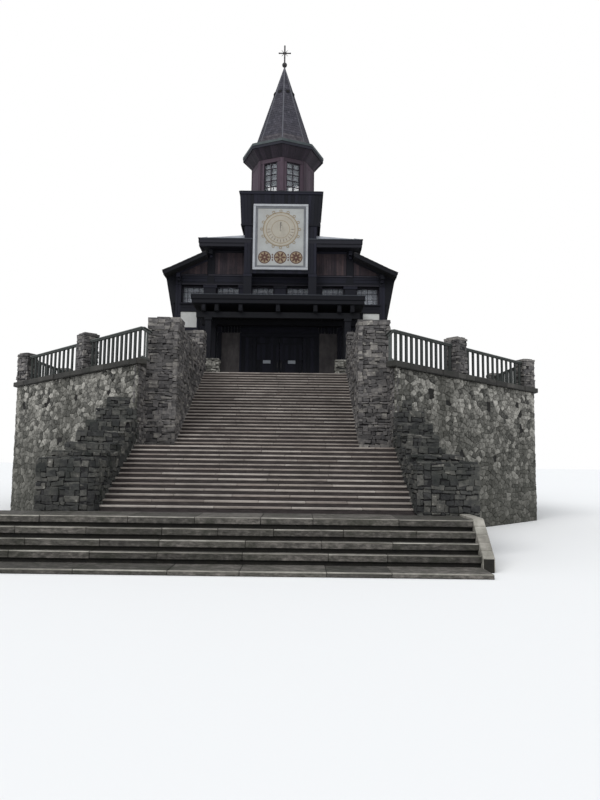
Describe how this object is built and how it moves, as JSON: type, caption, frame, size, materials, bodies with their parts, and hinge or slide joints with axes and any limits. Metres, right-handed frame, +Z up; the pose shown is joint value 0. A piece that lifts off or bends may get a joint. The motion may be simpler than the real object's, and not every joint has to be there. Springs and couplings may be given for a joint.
{
  "type": "hillside chapel",
  "caption": "Timber chapel with a square belfry, octagonal lantern and flared spire, on a railed rubble terrace reached by a walled stair; double doors open outwards.",
  "frame": {"origin": "on the ground, on the chapel's axis, under the nosing at the head of the upper flight", "axes": "+X to the right as seen from the foot of the stair, +Y up the stair and into the chapel, +Z up"},
  "size_m": [25.48, 35.282, 28.095],
  "materials": {
    "stair_stone": "worn",
    "cheek_stone": "rough rubble",
    "wall_stone": "rough rubble",
    "fill": "packed",
    "timber": "tarred",
    "red_timber": "oiled",
    "plaster": "lime plaster",
    "grey_wood": "weathered",
    "roofing": "matt",
    "glass": "clear",
    "iron": "painted"
  },
  "bodies": {
    "root": {"base_steps": "stair_stone", "lower_flight": "stair_stone", "upper_flight": "stair_stone", "lower_stair_walls": "cheek_stone", "upper_stair_walls": "cheek_stone", "landing_piers": "cheek_stone", "front_terrace_walls": "wall_stone", "side_terrace_walls": "wall_stone", "corner_terrace_walls": "wall_stone", "rear_terrace_wall": "wall_stone", "terrace_fill": "fill", "coping": "cheek_stone", "railing_piers": "cheek_stone", "front_railing": "grey_wood", "side_railing": "grey_wood", "rear_railing": "grey_wood", "chapel_plinth": "wall_stone", "front_walls": "plaster", "door_jambs": "timber", "front_wall_over": "timber", "side_walls": "plaster", "rear_wall": "plaster", "sill_beams": "timber", "window_posts": "timber", "window_glass": "glass", "gable_walls": "timber", "wall_plates": "timber", "eaves_brackets": "timber", "aisle_roofs": "roofing", "main_roof": "roofing", "portico_blocks": "wall_stone", "portico_posts": "timber", "portico_beams": "timber", "portico_joists": "timber", "portico_roof": "timber", "belfry": "red_timber", "belfry_legs": "red_timber", "sundial_panel": "plaster", "lantern_posts": "red_timber", "lantern_rings": "red_timber", "lantern_glass": "glass", "spire": "roofing", "finial": "iron"},
    "door_left": {"door_left": "timber"},
    "door_right": {"door_right": "timber"}
  },
  "joints": [
    {"name": "door_left_hinge", "type": "hinge", "parent": "root", "child": "door_left", "pos_m": [-1.292, 4.785, 8.265], "axis": [0, 0, -1], "range_deg": [0, 95]},
    {"name": "door_right_hinge", "type": "hinge", "parent": "root", "child": "door_right", "pos_m": [1.292, 4.785, 8.265], "axis": [0, 0, 1], "range_deg": [0, 95]}
  ]
}
